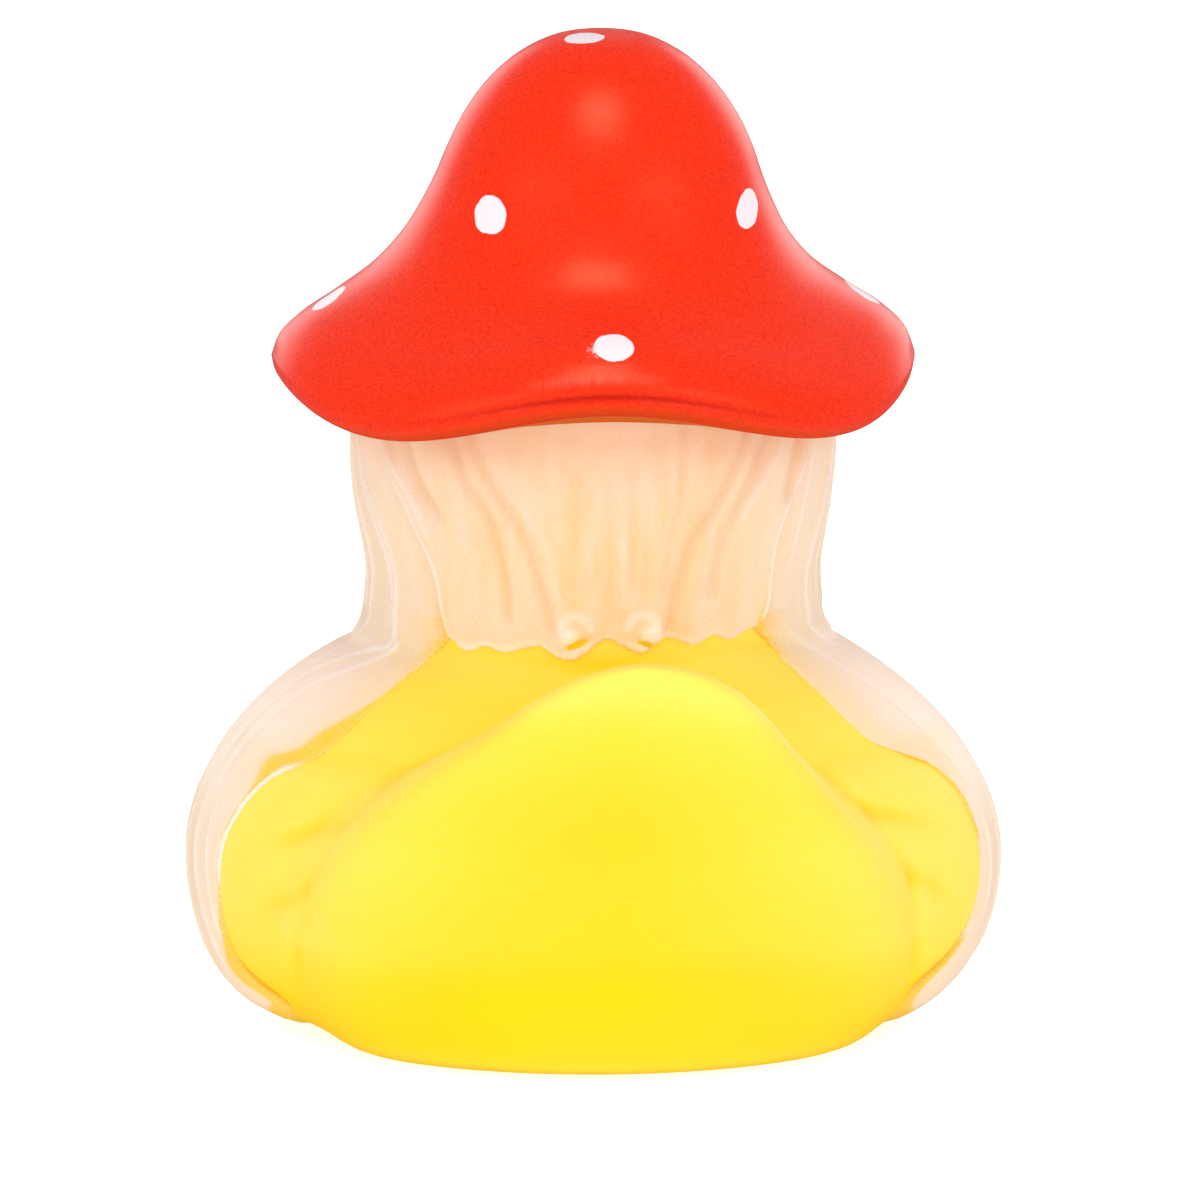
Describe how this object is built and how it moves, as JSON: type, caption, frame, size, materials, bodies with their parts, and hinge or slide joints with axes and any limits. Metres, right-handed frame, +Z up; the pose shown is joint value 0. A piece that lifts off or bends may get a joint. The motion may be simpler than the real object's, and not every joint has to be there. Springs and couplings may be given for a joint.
{
  "type": "rubber duck",
  "caption": "Hollow soft vinyl bath duck with a spotted mushroom cap, a pleated robe open at the back over its wings, an upturned tail and a flat base with a vent hole.",
  "frame": {"origin": "centre of the object's box, on the plane that its base rests on", "axes": "+Z up through the cap, -Y the way the duck faces, +X its left side"},
  "size_m": [0.0784, 0.0806, 0.0943],
  "materials": {
    "yellow_vinyl": "satin moulded skin",
    "red_paint": "satin sprayed paint with white spots",
    "peach_paint": "satin sprayed paint",
    "orange_paint": "satin sprayed paint",
    "black_paint": "gloss stamped paint"
  },
  "bodies": {
    "root": {"duck_shell": "yellow_vinyl"}
  },
  "joints": []
}
